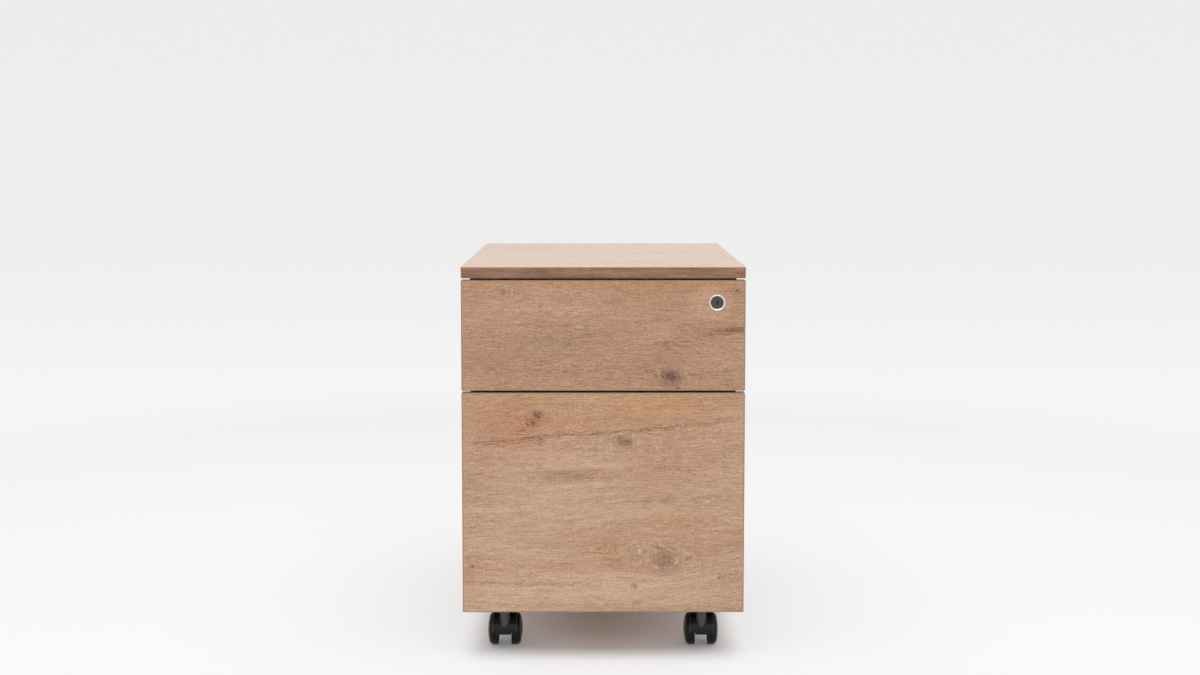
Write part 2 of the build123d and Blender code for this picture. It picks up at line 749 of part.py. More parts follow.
cam_angle = radians(-cam_swing / 2)
cam_pin_y = bar_y - bar_width / 2 + lug_thickness + cam_pin_end - front_y
with BuildPart() as lock_core:
    with BuildSketch(lock_plane.offset(lock_play - core_face)):
        Circle(core_face_radius)
    extrude(amount=core_face - lock_play + rosette_proud - core_sink)
    chamfer(lock_core.edges().group_by(Axis.Y)[0], small_edge)
    with BuildSketch(lock_plane.offset(-core_back)):
        Circle(core_radius)
    extrude(amount=core_back)
    with BuildSketch(lock_plane.offset(-core_back - cam_disc)):
        Circle(cam_disc_radius)
    extrude(amount=cam_disc)
    with BuildSketch(lock_plane.offset(-cam_pin_y)):
        with Locations((cam_throw * cos(cam_angle), cam_throw * sin(cam_angle))):
            Circle(cam_pin_radius)
    extrude(amount=cam_pin_y - core_back)
    with BuildSketch(lock_plane.offset(rosette_proud - core_sink)):
        Circle(core_groove[0])
        Circle(core_groove[1], mode=Mode.SUBTRACT)
    extrude(amount=-core_groove[2], mode=Mode.SUBTRACT)
    with BuildSketch(lock_plane.offset(rosette_proud - core_sink)):
        Rectangle(key_slot[0], key_slot[1])
    extrude(amount=-key_slot[2], mode=Mode.SUBTRACT)
save(lock_core, "lock_core")

bar_bottom_z = pin_heights[0] - bar_below_pin
bar_top_z = bar_rest_z + lug_height / 2
with BuildPart() as locking_bar:
    with BuildSketch(side_plane(bar_x, bar_y, (bar_bottom_z + bar_top_z) / 2)):
        Rectangle(bar_width, bar_top_z - bar_bottom_z)
    extrude(amount=bar_thickness)
    lug_x = lock_x - lug_end
    lug_plane = front_plane(bar_y - bar_width / 2 + lug_thickness, bar_rest_z)
    with BuildSketch(lug_plane):
        with Locations(((lug_x + bar_x) / 2, 0)):
            Rectangle(bar_x - lug_x, lug_height)
        with Locations((lock_x + cam_throw * (1 + cos(cam_angle)) / 2, 0)):
            slot_height = 2 * (cam_pin_radius + slot_play)
            slot_length = slot_height + cam_throw * (1 - cos(cam_angle)) + 2 * slot_end_play
            SlotOverall(slot_length, slot_height, mode=Mode.SUBTRACT)
    extrude(amount=lug_thickness)
    with BuildSketch(side_plane(bar_x)):
        with Locations(*[(bar_y, z) for z in pin_heights]):
            Circle(catch_pin_radius)
    extrude(amount=bar_thickness / 2, mode=Mode.SUBTRACT)
save(locking_bar, "locking_bar")

with BuildPart() as locking_pins:
    with BuildSketch(side_plane(bar_x + bar_thickness / 2)):
        with Locations(*[(bar_y, z) for z in pin_heights]):
            Circle(catch_pin_radius)
    extrude(amount=-(bar_x + bar_thickness / 2 - box_x - catch_pin_gap))
    chamfer(locking_pins.edges().group_by(Axis.X)[0], small_edge)
save(locking_pins, "locking_pins")

with BuildPart() as locking_bar_guides:
    for z in guide_heights:
        half = bar_width / 2 + bar_play
        inside = bar_play + bar_thickness + guide_play
        with BuildSketch(Plane.XY.offset(z - guide_height / 2)):
            with Locations((inner_x - (inside + guide_cover) / 2, bar_y)):
                Rectangle(inside + guide_cover, 2 * (half + guide_cover))
            with Locations((inner_x - guide_sheet / 2, bar_y)):
                Rectangle(guide_sheet, 2 * (half + guide_cover + guide_ear))
            with Locations((inner_x - inside / 2, bar_y)):
                Rectangle(inside, 2 * half, mode=Mode.SUBTRACT)
        extrude(amount=guide_height)
    with BuildSketch(side_plane(inner_x)):
        with Locations(*guide_screw_points):
            Circle(screw_radius + hole_play)
    extrude(amount=-guide_sheet, mode=Mode.SUBTRACT)
save(locking_bar_guides, "locking_bar_guides")

for name, pin_z in zip(("file", "top"), pin_heights):
    with BuildPart() as lock_catch:
        catch_y = bar_y + catch_pin_radius + catch_stop
        catch_z = pin_z + catch_pin_radius + catch_play
        with Locations((box_x, catch_y, catch_z)):
            Box(*catch, align=Align.MIN)
        chamfer(lock_catch.edges().group_by(Axis.X)[-1], catch_edge)
    save(lock_catch, f"{name}_lock_catch")

with BuildPart() as side_screws:
    for side in (-1, 1):
        seats = [(point, slide_sheet) for point in slide_screw_points]
        if side > 0:
            seats += [(point, guide_sheet) for point in guide_screw_points]
        for (y, z), seat in seats:
            with BuildSketch(side_plane(side * (inner_x - seat), y, z)):
                Circle(flat_head_radius)
            extrude(amount=-side * flat_head)
            with BuildSketch(side_plane(side * (inner_x - seat), y, z)):
                Circle(screw_radius)
            extrude(amount=side * (seat + screw_bite - hole_play))
save(side_screws, "side_screws")

# =====================================================================================
# Casters: pivot in front, wheels trailing towards the back
# =====================================================================================

with BuildPart() as carcass_screws:
    for points, seat_z, tip_z in (
        (top_screw_points, under_top_z - board, under_top_z + screw_bite - hole_play),
        (caster_screw_points, plate_z, caster_height + screw_bite - hole_play),
    ):
        with BuildSketch(Plane.XY.offset(seat_z - screw_head)):
            with Locations(*points):
                Circle(screw_head_radius)
        extrude(amount=screw_head)
        fillet(carcass_screws.edges().group_by(Axis.Z)[0], screw_head_round)
        with BuildSketch(Plane.XY.offset(seat_z)):
            with Locations(*points):
                Circle(screw_radius)
        extrude(amount=tip_z - seat_z)
save(carcass_screws, "carcass_screws")

with BuildPart() as caster_plates:
    with BuildSketch(Plane.XY.offset(plate_z)):
        with Locations(*casters.values()):
            RectangleRounded(plate_side, plate_side, plate_corner)
            Circle(stem_radius + hole_play, mode=Mode.SUBTRACT)
        with Locations(*caster_screw_points):
            Circle(screw_radius + 2 * hole_play, mode=Mode.SUBTRACT)
    extrude(amount=plate_thickness)
save(caster_plates, "caster_plates")

with BuildPart() as caster_stems:
    with BuildSketch(Plane.XY.offset(wheel_radius + stem_end)):
        with Locations(*casters.values()):
            Circle(stem_radius)
    extrude(amount=caster_headroom + wheel_radius - stem_end - hole_play)
    with BuildSketch(Plane.XY.offset(plate_z - collar)):
        with Locations(*casters.values()):
            Circle(collar_radius)
    extrude(amount=collar)
save(caster_stems, "caster_stems")


def caster_hood(x, y):
    """Caster body: a web between the wheels, a cover round their front and top, and the neck that
    the stem turns in."""
    axle_plane = side_plane(x, y + caster_trail, wheel_radius)
    inside = wheel_radius + hood_play
    outside = inside + hood_wall
    cover = (hood_width - hood_web) / 2
    with BuildPart() as hood:
        with BuildSketch(axle_plane):
            Circle(outside)
        extrude(amount=hood_width / 2, both=True)
        fillet(hood.edges(), hood_round)
        for side in (-1, 1):
            with BuildSketch(axle_plane.offset(side * hood_web / 2)):
                Circle(inside)
                with Locations((hood_rear, 0)):
                    Rectangle(outside, 2 * outside, align=(Align.MIN, Align.CENTER))
                with Locations((0, cover_clearance - wheel_radius)):
                    Rectangle(2 * outside, outside, align=(Align.CENTER, Align.MAX))
            extrude(amount=side * cover, mode=Mode.SUBTRACT)
        with BuildSketch(axle_plane):
            with Locations((0, web_clearance - wheel_radius)):
                Rectangle(2 * outside, outside, align=(Align.CENTER, Align.MAX))
        extrude(amount=hood_width / 2, both=True, mode=Mode.SUBTRACT)
        with BuildSketch(Plane.XY.offset(neck_top_z)):
            with Locations((x, y)):
                Circle(neck_top_radius)
        with BuildSketch(Plane.XY.offset(wheel_radius + neck_end)):
            with Locations((x, y)):
                Circle(neck_radius)
        loft()
        with BuildSketch(Plane.XY.offset(wheel_radius + stem_end - swivel_play)):
            with Locations((x, y)):
                Circle(stem_radius + hole_play)
        extrude(amount=neck_top_z, mode=Mode.SUBTRACT)
        with BuildSketch(axle_plane):
            Circle(axle_radius + axle_play)
        extrude(amount=hood_width, both=True, mode=Mode.SUBTRACT)
    return hood


def caster_axle(x, y):
    """Steel pin through the web, with a wheel turning on each end."""
    with BuildPart() as axle:
        with BuildSketch(side_plane(x, y + caster_trail, wheel_radius)):
            Circle(axle_radius)
        extrude(amount=axle_length / 2, both=True)
        chamfer(axle.edges(), small_edge)
    return axle


def caster_wheel(x, y, side):
    """One moulded wheel: tread, rounded shoulder and domed face, hollow towards the web."""
    axle = Axis((x, y + caster_trail, wheel_radius), (1, 0, 0))
    section = Plane(origin=axle.position, x_dir=(side, 0, 0), z_dir=(0, -side, 0))
    tread_end = wheel_edge - wheel_round
    rim = wheel_radius - wheel_round
    dome_radius = (rim**2 + (wheel_dome - wheel_edge) ** 2) / (2 * (wheel_dome - wheel_edge))
    cavity_radius = wheel_radius - tread_wall
    with BuildPart() as wheel:
        with BuildSketch(section):
            with BuildLine():
                Polyline((wheel_dome, 0), (wheel_inner, 0), (wheel_inner, wheel_radius))
                Line((wheel_inner, wheel_radius), (tread_end, wheel_radius))
                CenterArc((tread_end, rim), wheel_round, 0, 90)
                RadiusArc((wheel_edge, rim), (wheel_dome, 0), dome_radius)
            make_face()
        revolve(axis=axle)
        with BuildSketch(section):
            with BuildLine():
                Polyline(
                    (wheel_inner, hub_radius), (wheel_edge - wheel_wall, hub_radius),
                    (wheel_edge - wheel_wall, rim - wheel_wall), (tread_end, cavity_radius),
                    (wheel_inner, cavity_radius), close=True,
                )
            make_face()
        revolve(axis=axle, mode=Mode.SUBTRACT)
        with BuildSketch(side_plane(x, y + caster_trail, wheel_radius)):
            Circle(axle_radius + axle_play)
        extrude(amount=axle_length / 2 + swivel_play, both=True, mode=Mode.SUBTRACT)
    return wheel


for name, (x, y) in casters.items():
    save(caster_hood(x, y), f"caster_hood_{name}")
    save(caster_axle(x, y), f"caster_axle_{name}")
    save(caster_wheel(x, y, -1), f"wheel_{name}_l")
    save(caster_wheel(x, y, 1), f"wheel_{name}_r")
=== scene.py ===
# Rolling pedestal cabinet: oak-decor boards, steel drawers, nickel lock, black casters.
# Metres, +Z up, fronts facing -Y, floor at z = 0.
import json
import math

import bpy
import numpy as np
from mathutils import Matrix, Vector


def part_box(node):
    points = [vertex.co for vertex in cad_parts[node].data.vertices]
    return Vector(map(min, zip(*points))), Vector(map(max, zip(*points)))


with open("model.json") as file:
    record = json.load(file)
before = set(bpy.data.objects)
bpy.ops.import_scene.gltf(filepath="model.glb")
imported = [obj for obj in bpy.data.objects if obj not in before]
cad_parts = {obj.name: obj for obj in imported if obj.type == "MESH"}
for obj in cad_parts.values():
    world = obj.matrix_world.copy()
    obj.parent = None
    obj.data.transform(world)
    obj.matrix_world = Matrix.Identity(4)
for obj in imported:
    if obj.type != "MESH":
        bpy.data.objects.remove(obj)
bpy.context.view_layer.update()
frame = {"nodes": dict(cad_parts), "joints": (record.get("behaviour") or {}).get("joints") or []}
nodes = frame["nodes"]
print("frame loaded:", len(nodes), "nodes")


# in front of the cabinet, a little left of its middle, looking slightly down
camera = {
    "place": (-0.0094, -2.8044, 0.7813),
    "down": 4.52,  # degrees below level
    "aside": -0.102,  # degrees to the left
    "lens": 50.03,
    "sensor": 36,
    "shift": -0.05,
    "sees": 60,  # metres
}


def placeCamera():
    data = bpy.data.cameras.new("camera")
    data.lens = camera["lens"]
    data.sensor_width = camera["sensor"]
    data.shift_y = camera["shift"]
    data.clip_end = camera["sees"]
    eye = bpy.data.objects.new("camera", data)
    eye.location = camera["place"]
    eye.rotation_euler = (math.radians(90 - camera["down"]), 0, math.radians(camera["aside"]))
    bpy.context.scene.collection.objects.link(eye)
    bpy.context.scene.camera = eye


placeCamera()
bpy.context.scene.view_settings.view_transform = "Standard"


# an output socket of a shader; its operators add Math nodes
class Value:
    def __init__(self, shader, socket):
        self.shader = shader
        self.socket = socket

    def maths(self, operation, *terms):
        return self.shader.node("ShaderNodeMath", {"operation": operation}, dict(enumerate(terms)))

    def __add__(self, other):
        return self.maths("ADD", self, other)

    def __radd__(self, other):
        return self.maths("ADD", other, self)

    def __sub__(self, other):
        return self.maths("SUBTRACT", self, other)

    def __rsub__(self, other):
        return self.maths("SUBTRACT", other, self)

    def __mul__(self, other):
        return self.maths("MULTIPLY", self, other)

    def __rmul__(self, other):
        return self.maths("MULTIPLY", other, self)

    def __truediv__(self, other):
        return self.maths("DIVIDE", self, other)

    def __pow__(self, other):
        return self.maths("POWER", self, other)

    def __abs__(self):
        return self.maths("ABSOLUTE", self)

    # 0 below low, 1 above high, a smooth step between; low may be the larger
    def step(self, low, high):
        inputs = {0: self, 1: low, 2: high}
        if low > high:
            inputs = {0: self, 1: high, 2: low, 3: 1.0, 4: 0.0}
        return self.shader.node("ShaderNodeMapRange", {"interpolation_type": "SMOOTHSTEP"}, inputs)


# the node tree of a material or of the world, and the shader node that it ends in
class Shader:
    def __init__(self, owner, surface):
        owner.use_nodes = True
        self.owner = owner
        self.tree = owner.node_tree
        self.surface = self.tree.nodes[surface]

    # any node: its settings first, then the values or links of its sockets
    def node(self, kind, settings=None, inputs=None, output=0):
        made = self.tree.nodes.new(kind)
        for name, value in (settings or {}).items():
            if name == "stops":
                self.fillRamp(made.color_ramp, value)
            else:
                setattr(made, name, value)
        for name, value in (inputs or {}).items():
            self.feed(made.inputs[name], value)
        return Value(self, made.outputs[output])

    def fillRamp(self, ramp, stops):
        while len(ramp.elements) < len(stops):
            ramp.elements.new(0.5)
        for element, (place, colour) in zip(ramp.elements, stops):
            element.position = place
            element.color = (*colour, 1)

    def feed(self, socket, value):
        if isinstance(value, Value):
            self.tree.links.new(value.socket, socket)
        else:
            socket.default_value = value

    def set(self, socket, value):
        if isinstance(value, tuple) and len(value) == 3:
            value = (*value, 1)
        self.feed(self.surface.inputs[socket], value)

    # object coordinates in millimetres
    def place(self):
        where = self.node("ShaderNodeTexCoord", output="Object")
        inputs = {0: where, "Scale": 1000.0}
        grown = self.node("ShaderNodeVectorMath", {"operation": "SCALE"}, inputs)
        return [self.node("ShaderNodeSeparateXYZ", None, {0: grown}, axis) for axis in "XYZ"]

    # noise with so many grains to a millimetre, the same each way or one number per axis
    def noise(self, place, scale=1.0, detail=2.0, rough=0.5):
        if isinstance(scale, tuple):
            place = [part * share for part, share in zip(place, scale)]
            scale = 1.0
        where = self.node("ShaderNodeCombineXYZ", None, dict(enumerate(place)))
        inputs = {"Vector": where, "Scale": scale, "Detail": detail, "Roughness": rough}
        return self.node("ShaderNodeTexNoise", {"noise_dimensions": "3D"}, inputs)

    # noise drawn out along the grain; size is its length and width in millimetres
    def drawn(self, along, across, seed, size, detail=2.0, rough=0.5):
        return self.noise([along / size[0], across / size[1], seed], 1.0, detail, rough)

    def mix(self, amount, first, second, blend="MIX"):
        settings = {"data_type": "RGBA", "blend_type": blend}
        first, second = [c if isinstance(c, Value) else (*c, 1) for c in (first, second)]
        return self.node("ShaderNodeMix", settings, {0: amount, 6: first, 7: second}, 2)

    def ramp(self, amount, stops):
        return self.node("ShaderNodeValToRGB", {"stops": stops}, {0: amount})

    def bump(self, height, distance, strength=1.0):
        inputs = {"Height": height, "Distance": distance, "Strength": strength}
        self.set("Normal", self.node("ShaderNodeBump", None, inputs))


# a new material, and what is the same all over it
def newMaterial(name, **surface):
    shader = Shader(bpy.data.materials.new(name), "Principled BSDF")
    for socket, value in surface.items():
        shader.set(socket.replace("_", " "), value)
    return shader


# a colour as it is picked on a screen, turned into light
def shade(red, green, blue):
    def light(channel):
        part = channel / 255
        return part / 12.92 if part <= 0.04045 else ((part + 0.055) / 1.055) ** 2.4
    return (light(red), light(green), light(blue))


def scaled(colour, share):
    return tuple(channel * share for channel in colour)


def dress(shader, *names):
    for name in names:
        slots = nodes[name].data.materials
        slots.clear()
        slots.append(shader.owner)


def namesWith(*words):
    return [name for name in nodes if any(word in name for word in words)]


# the middle of a node's box along one axis, in millimetres
def middle(name, axis):
    low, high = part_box(name)
    return 500 * (low[axis] + high[axis])


# oak decor: printed grain that runs along one axis and flows round knots
oak = {
    "stops": [(0.1, shade(132, 94, 66)), (0.5, shade(184, 145, 114)), (0.88, shade(213, 178, 148))],
    "red": (0.98, 0.80, 0.75),  # tints that the print is multiplied by
    "amber": (1.0, 0.88, 0.70),
    "purple": (0.62, 0.52, 0.54),
    "knot": shade(92, 62, 50),
    "roughness": 0.3,
    "lineRoughness": 0.14,  # what lines and pores add to it
    "poreRoughness": 0.12,
    "lineRelief": 0.35,  # height of the lines beside the depth of the pores
    "pore": 0.00006,  # depth of the embossed pores
    "nextBoard": 37.0,  # how far apart two boards are cut from the print
}

# layers of the grain: length and width in mm, seed, detail, roughness, share of the tone
grain = {
    "broad": (240, 44, 3, 2.0, 0.5, 0.3),
    "bands": (130, 9, 7, 2.0, 0.55, 0.28),
    "lines": (36, 2.2, 11, 2.0, 0.6, 0.68),
    "fibre": (15, 1.15, 23, 2.0, 0.6, 0.9),
    "curl": (3.2, 6.5, 17, 2.0, 0.6, 0.28),
    "grit": (3.4, 2.0, 19, 1.0, 0.5, 0.6),
    "hair": (5.5, 0.42, 29, 1.0, 0.5, 0.45),
}
calmed = ("broad", "bands", "lines", "curl")  # the layers that a calm board has less of

waves = {"size": (170, 70), "swing": 22}  # slow waves of the whole grain, in mm
ripples = {"size": (19, 9), "seed": 5, "swing": 4.2}  # short ones, for the fine lines only

knot = {
    "stretch": 1.35,  # longer than wide
    "reach": 3.5, "parting": 0.92,  # how far off and how much the grain parts
    "rings": (2.1, 1.0), "ringShare": 1.2, "mostRings": 0.8,  # distances in knot radii
    "core": (1.15, 0.1),
    "halo": (2.3, 0.7), "haloTint": 0.75,
    "grit": {"size": (6, 3.6), "seed": 47, "detail": 3.0, "rough": 0.7},
    "haloGrit": (0.25, 0.62), "coreGrit": (0.32, 0.58),
}
streak = {
    "lead": 20, "taper": 24,  # mm before and after each end over which it fades
    "ripple": 9, "wave": 10,  # mm that it wanders
    "reach": 2.6,  # half widths to where it has faded
    "broken": (0.75, 1.2), "whole": 1.15,
    "depth": 0.8,
}
cloud = {
    "rim": 1.3, "ragged": 1.3, "lift": 0.45,
    "glow": {"size": (180, 20), "seed": 31, "tones": (0.54, 0.8), "tint": 0.7},
}
pore = {
    "dashes": {"size": (6.5, 0.6), "seed": 41, "tones": (0.56, 0.7)},
    "crowds": {"size": (80, 8), "seed": 43, "tones": (0.3, 0.62)},
    "crowded": 0.8, "everywhere": 0.2,  # how dark pores are in crowds, and added all over
    "ink": 0.5,
}

# Places are along and across the board from its middle, in mm.
# knots: place, radius, darkness    clouds: place, half length, half width, amount, colour
# lifts: as clouds, but paler    streaks: from, to, half width, darkness
boards = {
    "file_drawer_front": {
        # painted light: tone 0.06 makes this lower front paler, as the floor lights it more than
        # the upper front
        "grain": "xz", "tone": 0.06, "tilt": 0.03,
        "knots": [
            (-100, 136, 7, 0.9), (-108, 124, 4, 0.7), (-97, 96, 3.5, 0.7), (35, 94, 6.5, 0.85),
            (27, 101, 3.5, 0.5), (79, 84, 2, 0.5), (113, 119, 5, 0.4), (93, -88, 13, 0.42),
            (48, -85, 8, 0.25), (48, -128, 4.5, 0.6), (-200, -98, 2, 0.9), (178, -116, 4, 0.45),
        ],
        "clouds": [
            (-60, 142, 260, 34, 0.4, "amber"), (150, 150, 120, 18, 0.35, "amber"),
            (-150, 110, 70, 30, 0.5, "red"), (60, 118, 190, 12, 0.35, "red"),
            (3, -70, 42, 14, 0.5, "red"), (112, -40, 60, 17, 0.45, "red"),
            (-182, 68, 14, 12, 0.4, "red"), (-50, 44, 80, 13, 0.3, "purple"),
            (93, -88, 24, 15, 0.2, "purple"), (-205, -108, 10, 22, 0.5, "red"),
            (150, 98, 80, 9, 0.3, "red"),
        ],
        "lifts": [
            (-40, 20, 170, 60, 0.35), (-120, -60, 110, 40, 0.3),
            (-20, -134, 240, 34, 0.7), (-150, -150, 130, 30, 0.35),
        ],
        "streaks": [
            (-196, 88, -100, 101, 2.6, 0.5), (-104, 101, 62, 112, 2.2, 0.42),
            (58, 110, 212, 130, 2.4, 0.38), (-107, 51, -7, 39, 3.0, 0.3),
            (-120, 114, -96, 128, 5.0, 0.5), (40, 2, 200, 12, 1.6, 0.25),
            (-210, -122, -40, -126, 1.8, 0.22), (8, 100, 50, 84, 4.0, 0.22),
        ],
    },
    "top_drawer_front": {
        # painted shade: tone -0.06 makes this upper front darker, as the floor lights it less than
        # the lower front
        "grain": "xz", "tone": -0.06, "tilt": -0.02, "calm": 0.72,
        "knots": [
            (103, -62, 8, 0.95), (113, -80, 2.5, 0.9), (-148, 66, 4, 0.55),
            (202, 68, 3, 0.8), (-58, -54, 5, 0.35), (-26, 12, 3, 0.2),
        ],
        "clouds": [
            (0, 80, 240, 15, 0.7, "amber"), (104, -32, 34, 22, 0.5, "red"),
            (168, 8, 40, 13, 0.42, "red"), (205, 6, 24, 5, 0.65, "purple"),
            (-60, -6, 130, 22, 0.1, "purple"), (150, 60, 60, 22, 0.25, "red"),
            (-150, -50, 90, 26, 0.25, "red"), (103, -62, 20, 10, 0.3, "purple"),
            (40, -60, 110, 18, 0.14, "purple"),
        ],
        "lifts": [(30, 30, 120, 20, 0.2), (-130, 26, 120, 34, 0.3), (162, 50, 36, 30, 0.7)],
        "streaks": [
            (150, 2, 214, 10, 3.0, 0.5), (-90, -2, 60, 6, 4.0, 0.06),
            (-200, 20, -60, 14, 2.0, 0.06), (60, -52, 110, -64, 2.6, 0.3),
            (20, -22, 130, -8, 2.0, 0.18), (110, -64, 200, -52, 2.4, 0.2),
        ],
    },
    "top_panel": {
        # painted sheen: tone 0.2 makes the top's print paler, standing in for the pale reflection
        # it shows at a grazing view
        "grain": "xy", "tone": 0.2, "tilt": 0.02, "roughness": 0.22,
        "knots": [(60, 150, 8, 0.5), (-120, -90, 5, 0.5), (-30, 60, 4, 0.3), (140, -200, 6, 0.4)],
        "clouds": [
            (-60, -240, 150, 20, 0.4, "red"), (70, 40, 150, 40, 0.3, "amber"),
            (-80, 180, 120, 30, 0.3, "red"),
        ],
        "lifts": [(10, -120, 180, 36, 0.3)],
        "streaks": [
            (-150, 20, 60, 32, 3.0, 0.3), (-40, -170, 170, -160, 2.4, 0.3),
            (-180, 120, -20, 130, 2.4, 0.25),
        ],
    },
    "side_panel_left": {
        "grain": "yz", "tone": 0.0, "tilt": -0.03,
        "knots": [(-160, 120, 9, 0.7), (90, -40, 12, 0.6), (190, 170, 5, 0.5), (-40, -190, 6, 0.5)],
        "clouds": [
            (90, -40, 60, 26, 0.5, "red"), (-160, 120, 46, 22, 0.5, "amber"),
            (140, 190, 130, 30, 0.3, "red"),
        ],
        "lifts": [(-60, -120, 160, 40, 0.3)],
        "streaks": [
            (-260, 60, -20, 84, 3.0, 0.4), (-10, 84, 250, 70, 2.6, 0.35),
            (-120, -70, 60, -86, 2.4, 0.3),
        ],
    },
    "side_panel_right": {
        "grain": "yz", "tone": 0.0, "tilt": 0.03,
        "knots": [
            (120, 140, 8, 0.7), (-130, 20, 11, 0.6), (-210, -160, 5, 0.5), (60, -170, 7, 0.5),
        ],
        "clouds": [
            (-130, 20, 60, 26, 0.5, "red"), (120, 140, 46, 22, 0.5, "amber"),
            (-120, 200, 130, 26, 0.3, "red"),
        ],
        "lifts": [(60, -60, 160, 40, 0.3)],
        "streaks": [
            (-250, 110, 0, 92, 3.0, 0.4), (0, 92, 250, 104, 2.6, 0.35),
            (-40, -110, 180, -98, 2.4, 0.3),
        ],
    },
    "back_panel": {
        "grain": "xz", "tone": 0.0, "tilt": 0.02,
        "knots": [(-90, 140, 9, 0.7), (80, -60, 11, 0.6), (10, 200, 5, 0.5), (-130, -190, 6, 0.5)],
        "clouds": [
            (80, -60, 54, 24, 0.5, "red"), (-90, 140, 46, 22, 0.5, "amber"),
            (60, 190, 110, 24, 0.3, "red"),
        ],
        "lifts": [(-40, -110, 120, 40, 0.3)],
        "streaks": [
            (-180, 90, 10, 104, 3.0, 0.4), (10, 104, 180, 96, 2.6, 0.35),
            (-150, -140, 40, -128, 2.4, 0.3),
        ],
    },
    "bottom_panel": {
        "grain": "xy", "tone": 0.0, "tilt": 0.0,
        "knots": [(40, 100, 8, 0.5)],
        "clouds": [(40, 100, 50, 24, 0.5, "red")],
        "lifts": [],
        "streaks": [(-150, -60, 120, -48, 2.6, 0.3)],
    },
    "top_traverses": {
        "grain": "xy", "tone": 0.0, "tilt": 0.0,
        "knots": [], "clouds": [], "lifts": [], "streaks": [],
    },
}


# 1 at the middle of an ellipse, fading to 0 past its rim
def spot(a, b, halfLength, halfWidth):
    a = a / halfLength
    b = b / halfWidth
    return (a * a + b * b).step(cloud["rim"], 0.0)


# the larger of two masks, or the new one where there is none yet
def join(mask, more):
    return more if mask is None else mask.maths("MAXIMUM", mask, more)


def oakBoard(name, seed):
    board = boards[name]
    wood = newMaterial("oak " + name.replace("_", " "))
    place = wood.place()
    axes = ["xyz".index(letter) for letter in board["grain"]]
    along, across = [place[axis] - middle(name, axis) for axis in axes]
    depth = seed * oak["nextBoard"]

    # the whole grain waves and is tilted
    wave = wood.drawn(along, across, depth, waves["size"], 1.0) - 0.5
    flow = across - along * board["tilt"] + wave * waves["swing"]

    # the grain parts round a knot as a stream parts round a post
    core = halo = None
    for knotAlong, knotAcross, radius, dark in board["knots"]:
        a = (along - knotAlong) / knot["stretch"]
        b = across - knotAcross
        distance = (a * a + b * b) ** 0.5
        span = distance / radius
        flow = flow - b * (span * span / knot["reach"] + 1.0) ** -1.0 * knot["parting"]
        rings = span.step(*knot["rings"]) * min(knot["mostRings"], dark * knot["ringShare"])
        flow = flow * (1 - rings) + (distance + knotAcross) * rings
        core = join(core, span.step(*knot["core"]) * dark)
        halo = join(halo, span.step(*knot["halo"]) * dark)

    # short ripples make the fine lines wander
    ripple = wood.drawn(along, across, depth + ripples["seed"], ripples["size"], 1.0) - 0.5
    fine = flow + ripple * ripples["swing"]

    tone = 0.5 + board["tone"]
    layers = {}
    for layer, (length, width, offset, detail, rough, share) in grain.items():
        run = flow if layer == "broad" else fine
        layers[layer] = wood.drawn(along, run, depth + offset, (length, width), detail, rough)
        if layer in calmed:
            share = share * board.get("calm", 1.0)
        tone = tone + (layers[layer] - 0.5) * share
    bands, lines = layers["bands"], layers["lines"]

    whole = streak["whole"] - (lines + layers["fibre"]).step(*streak["broken"])
    bend = ripple * streak["ripple"] + wave * streak["wave"]
    for a0, b0, a1, b1, width, dark in board["streaks"]:
        slope = (b1 - b0) / (a1 - a0)
        side = abs(across - (along - a0) * slope - b0 + bend)
        ends = along.step(a0 - streak["lead"], a0 + streak["taper"])
        ends = ends * along.step(a1 + streak["lead"], a1 - streak["taper"])
        line = (side / width).step(streak["reach"], 0.0) * ends
        tone = tone - line * whole * (dark * streak["depth"])
    for a0, b0, length, width, amount in board["lifts"]:
        pale = spot(along - a0, across - b0, length, width) * bands
        tone = tone + pale * (amount * cloud["lift"])
    colour = wood.ramp(tone, oak["stops"])

    # warm and reddish clouds that follow the grain
    drift = cloud["glow"]
    glow = wood.drawn(along, flow, depth + drift["seed"], drift["size"])
    reddish = glow.step(*drift["tones"]) * drift["tint"]
    colour = wood.mix(reddish, colour, oak["red"], "MULTIPLY")
    ragged = (bands + glow) * cloud["ragged"]
    for a0, b0, length, width, amount, kind in board["clouds"]:
        patch = spot(along - a0, flow - b0 + along * board["tilt"], length, width)
        patch = patch * ragged * amount
        colour = wood.mix(patch.maths("MINIMUM", patch, 1.0), colour, oak[kind], "MULTIPLY")

    # pores: short dark dashes, printed and embossed
    dash, crowd = pore["dashes"], pore["crowds"]
    dashes = wood.drawn(along, fine, depth + dash["seed"], dash["size"], 1.0)
    crowds = wood.drawn(along, flow, depth + crowd["seed"], crowd["size"], 1.0)
    crowds = crowds.step(*crowd["tones"]) * pore["crowded"] + pore["everywhere"]
    pores = dashes.step(*dash["tones"]) * crowds
    colour = wood.mix(pores * pore["ink"], colour, oak["stops"][0][1])

    if core is not None:
        grit = knot["grit"]
        seeds = depth + grit["seed"]
        wearGritAndHighlight = wood.drawn(along, across, seeds, grit["size"], grit["detail"], grit["rough"])
        rim = halo * wearGritAndHighlight.step(*knot["haloGrit"]) * knot["haloTint"]
        colour = wood.mix(rim, colour, oak["purple"], "MULTIPLY")
        colour = wood.mix(core * wearGritAndHighlight.step(*knot["coreGrit"]), colour, oak["knot"])
    roughness = board.get("roughness", oak["roughness"]) + (lines - 0.5) * oak["lineRoughness"]
    wood.set("Base Color", colour)
    wood.set("Roughness", roughness + pores * oak["poreRoughness"])
    wood.bump(lines * oak["lineRelief"] - pores, oak["pore"])
    dress(wood, name)


